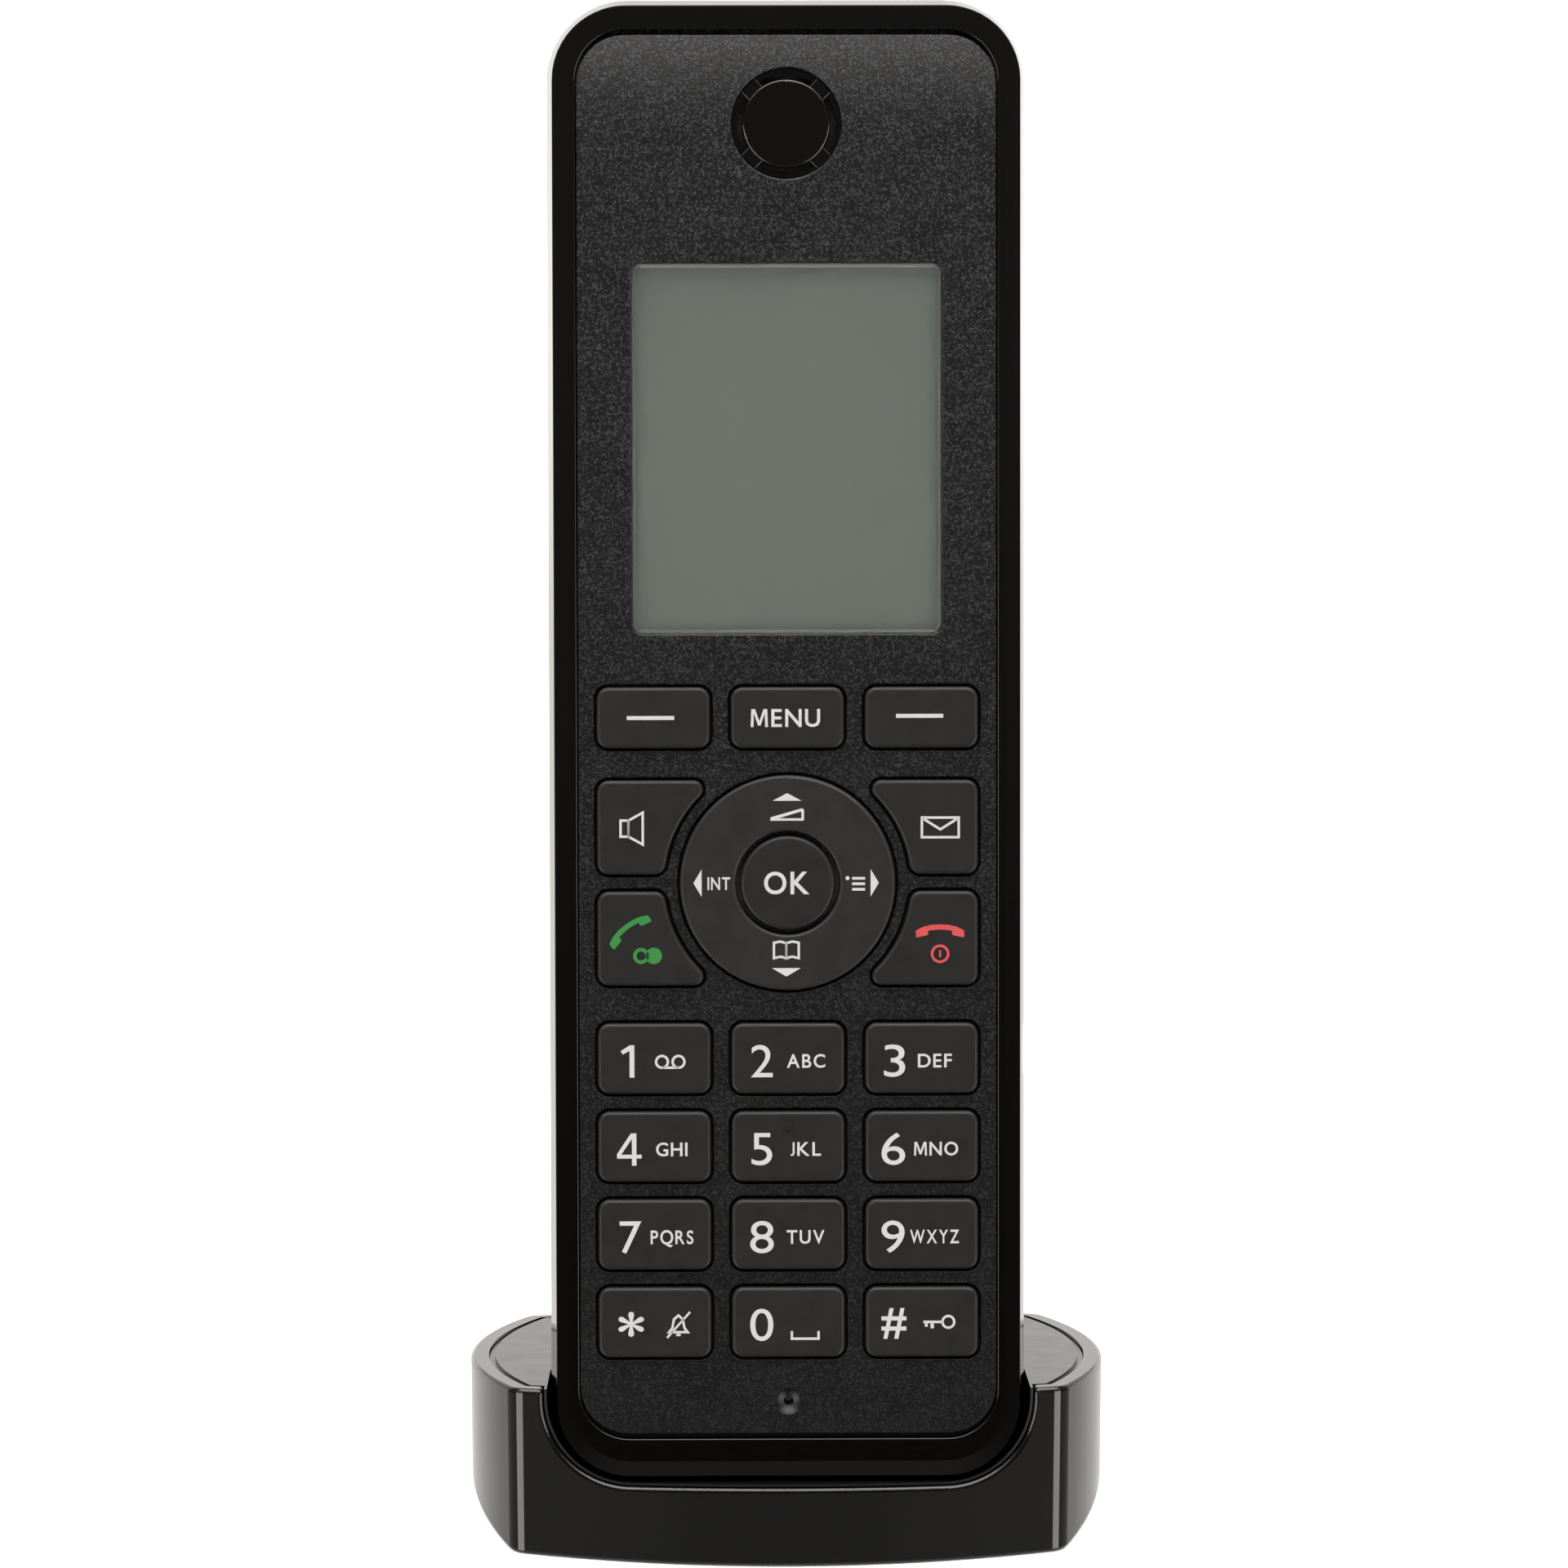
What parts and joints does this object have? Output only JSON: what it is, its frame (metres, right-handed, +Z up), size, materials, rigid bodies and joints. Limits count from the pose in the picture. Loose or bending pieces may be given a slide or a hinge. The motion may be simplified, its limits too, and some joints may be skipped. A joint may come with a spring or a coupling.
{
  "type": "cordless phone with charging base",
  "caption": "Slim cordless telephone handset with display, keypad and four-way ring, standing in a small barrel-shaped charging base.",
  "frame": {"origin": "centre of the base's footprint, on the surface it stands on", "axes": "+Z up, keys and display face -Y, +X to the right seen from the front; the handset leans back 12 degrees towards +Y"},
  "size_m": [0.067, 0.0596, 0.1554],
  "materials": {
    "gloss_shell": "high-gloss piano black",
    "satin_shell": "fine satin black",
    "panel_metallic": "satin anthracite lacquer with fine metallic flake",
    "key_satin": "soft satin charcoal",
    "display_glass": "clear hard-coated window",
    "lcd_grey": "unlit grey-green display",
    "holder_plastic": "white moulded light box",
    "foam": "black foam",
    "silicone": "translucent grey silicone",
    "dome_film": "clear film over steel snap domes",
    "board": "green solder mask",
    "tin_plate": "tinned sheet",
    "screw_steel": "dark zinc plated",
    "contact_plate": "plated contact surface",
    "transducer": "black moulded case",
    "mesh_fabric": "fine black acoustic cloth",
    "battery_wrap": "cell can in a matt sleeve",
    "ballast_steel": "dull zinc plated steel",
    "foot_rubber": "dark grey non-slip rubber"
  },
  "bodies": {
    "base": {"cradle_shell": "gloss_shell", "cradle_insert": "gloss_shell", "bottom_plate": "satin_shell", "base_pcb": "board", "ballast_plate": "ballast_steel", "rubber_feet": "foot_rubber", "base_screws": "screw_steel", "cord_grommet": "foot_rubber"},
    "handset": {"bezel_frame": "gloss_shell", "front_panel": "panel_metallic", "back_shell": "satin_shell", "display_window": "display_glass", "display_gasket": "foam", "lcd_panel": "lcd_grey", "lcd_holder": "holder_plastic", "earpiece_cap": "gloss_shell", "earpiece_mesh": "mesh_fabric", "earpiece_speaker": "transducer", "keypad_mat": "silicone", "dome_sheet": "dome_film", "main_pcb": "board", "shield_can": "tin_plate", "antenna": "tin_plate", "microphone": "tin_plate", "mic_boot": "silicone", "loudspeaker": "transducer", "loudspeaker_gasket": "foam", "battery_pack": "battery_wrap", "battery_contacts": "contact_plate", "headset_jack": "transducer", "handset_charge_pads": "contact_plate", "handset_screws": "screw_steel"},
    "battery_cover": {"battery_cover": "satin_shell"},
    "nav_rocker": {"nav_rocker": "holder_plastic"},
    "nav_ring": {"nav_ring": "key_satin"},
    "charge_contact_left": {"charge_contact_left": "contact_plate"},
    "charge_contact_right": {"charge_contact_right": "contact_plate"},
    "key_soft_left": {"key_soft_left": "key_satin"},
    "key_menu": {"key_menu": "key_satin"},
    "key_soft_right": {"key_soft_right": "key_satin"},
    "key_speaker": {"key_speaker": "key_satin"},
    "key_message": {"key_message": "key_satin"},
    "key_call": {"key_call": "key_satin"},
    "key_end": {"key_end": "key_satin"},
    "key_ok": {"key_ok": "key_satin"},
    "key_1": {"key_1": "key_satin"},
    "key_2": {"key_2": "key_satin"},
    "key_3": {"key_3": "key_satin"},
    "key_4": {"key_4": "key_satin"},
    "key_5": {"key_5": "key_satin"},
    "key_6": {"key_6": "key_satin"},
    "key_7": {"key_7": "key_satin"},
    "key_8": {"key_8": "key_satin"},
    "key_9": {"key_9": "key_satin"},
    "key_star": {"key_star": "key_satin"},
    "key_0": {"key_0": "key_satin"},
    "key_hash": {"key_hash": "key_satin"}
  },
  "joints": [
    {"name": "handset_lift", "type": "slide", "parent": "base", "child": "handset", "axis": [0, 0.2079, 0.9781], "range_m": [0, 0.04]},
    {"name": "battery_cover_off", "type": "slide", "parent": "handset", "child": "battery_cover", "axis": [0, 0.9781, -0.2079], "range_m": [0, 0.03]},
    {"name": "nav_rock_up_down", "type": "hinge", "parent": "handset", "child": "nav_rocker", "pos_m": [0, -0.01331, 0.06824], "axis": [1, 0, 0], "range_deg": [-1.5, 1.5], "stiffness_Nm_per_rad": 0.23},
    {"name": "nav_rock_left_right", "type": "hinge", "parent": "nav_rocker", "child": "nav_ring", "pos_m": [0, -0.01331, 0.06824], "axis": [0, 0.2079, 0.9781], "range_deg": [-1.5, 1.5], "stiffness_Nm_per_rad": 0.23},
    {"name": "charge_contact_left_press", "type": "hinge", "parent": "base", "child": "charge_contact_left", "pos_m": [-0.0085, -0.01236, 0.00342], "axis": [1, 0, 0], "range_deg": [0, 8], "stiffness_Nm_per_rad": 0.03, "springref_deg": -5.73},
    {"name": "charge_contact_right_press", "type": "hinge", "parent": "base", "child": "charge_contact_right", "pos_m": [0.0085, -0.01236, 0.00342], "axis": [1, 0, 0], "range_deg": [0, 8], "stiffness_Nm_per_rad": 0.03, "springref_deg": -5.73},
    {"name": "key_soft_left_press", "type": "slide", "parent": "handset", "child": "key_soft_left", "axis": [0, 0.9781, -0.2079], "range_m": [0, 0.00045], "stiffness_N_per_m": 500, "springref_m": -0.001},
    {"name": "key_menu_press", "type": "slide", "parent": "handset", "child": "key_menu", "axis": [0, 0.9781, -0.2079], "range_m": [0, 0.00045], "stiffness_N_per_m": 500, "springref_m": -0.001},
    {"name": "key_soft_right_press", "type": "slide", "parent": "handset", "child": "key_soft_right", "axis": [0, 0.9781, -0.2079], "range_m": [0, 0.00045], "stiffness_N_per_m": 500, "springref_m": -0.001},
    {"name": "key_speaker_press", "type": "slide", "parent": "handset", "child": "key_speaker", "axis": [0, 0.9781, -0.2079], "range_m": [0, 0.00045], "stiffness_N_per_m": 500, "springref_m": -0.001},
    {"name": "key_message_press", "type": "slide", "parent": "handset", "child": "key_message", "axis": [0, 0.9781, -0.2079], "range_m": [0, 0.00045], "stiffness_N_per_m": 500, "springref_m": -0.001},
    {"name": "key_call_press", "type": "slide", "parent": "handset", "child": "key_call", "axis": [0, 0.9781, -0.2079], "range_m": [0, 0.00045], "stiffness_N_per_m": 500, "springref_m": -0.001},
    {"name": "key_end_press", "type": "slide", "parent": "handset", "child": "key_end", "axis": [0, 0.9781, -0.2079], "range_m": [0, 0.00045], "stiffness_N_per_m": 500, "springref_m": -0.001},
    {"name": "key_ok_press", "type": "slide", "parent": "handset", "child": "key_ok", "axis": [0, 0.9781, -0.2079], "range_m": [0, 0.00045], "stiffness_N_per_m": 500, "springref_m": -0.001},
    {"name": "key_1_press", "type": "slide", "parent": "handset", "child": "key_1", "axis": [0, 0.9781, -0.2079], "range_m": [0, 0.00045], "stiffness_N_per_m": 500, "springref_m": -0.001},
    {"name": "key_2_press", "type": "slide", "parent": "handset", "child": "key_2", "axis": [0, 0.9781, -0.2079], "range_m": [0, 0.00045], "stiffness_N_per_m": 500, "springref_m": -0.001},
    {"name": "key_3_press", "type": "slide", "parent": "handset", "child": "key_3", "axis": [0, 0.9781, -0.2079], "range_m": [0, 0.00045], "stiffness_N_per_m": 500, "springref_m": -0.001},
    {"name": "key_4_press", "type": "slide", "parent": "handset", "child": "key_4", "axis": [0, 0.9781, -0.2079], "range_m": [0, 0.00045], "stiffness_N_per_m": 500, "springref_m": -0.001},
    {"name": "key_5_press", "type": "slide", "parent": "handset", "child": "key_5", "axis": [0, 0.9781, -0.2079], "range_m": [0, 0.00045], "stiffness_N_per_m": 500, "springref_m": -0.001},
    {"name": "key_6_press", "type": "slide", "parent": "handset", "child": "key_6", "axis": [0, 0.9781, -0.2079], "range_m": [0, 0.00045], "stiffness_N_per_m": 500, "springref_m": -0.001},
    {"name": "key_7_press", "type": "slide", "parent": "handset", "child": "key_7", "axis": [0, 0.9781, -0.2079], "range_m": [0, 0.00045], "stiffness_N_per_m": 500, "springref_m": -0.001},
    {"name": "key_8_press", "type": "slide", "parent": "handset", "child": "key_8", "axis": [0, 0.9781, -0.2079], "range_m": [0, 0.00045], "stiffness_N_per_m": 500, "springref_m": -0.001},
    {"name": "key_9_press", "type": "slide", "parent": "handset", "child": "key_9", "axis": [0, 0.9781, -0.2079], "range_m": [0, 0.00045], "stiffness_N_per_m": 500, "springref_m": -0.001},
    {"name": "key_star_press", "type": "slide", "parent": "handset", "child": "key_star", "axis": [0, 0.9781, -0.2079], "range_m": [0, 0.00045], "stiffness_N_per_m": 500, "springref_m": -0.001},
    {"name": "key_0_press", "type": "slide", "parent": "handset", "child": "key_0", "axis": [0, 0.9781, -0.2079], "range_m": [0, 0.00045], "stiffness_N_per_m": 500, "springref_m": -0.001},
    {"name": "key_hash_press", "type": "slide", "parent": "handset", "child": "key_hash", "axis": [0, 0.9781, -0.2079], "range_m": [0, 0.00045], "stiffness_N_per_m": 500, "springref_m": -0.001}
  ]
}
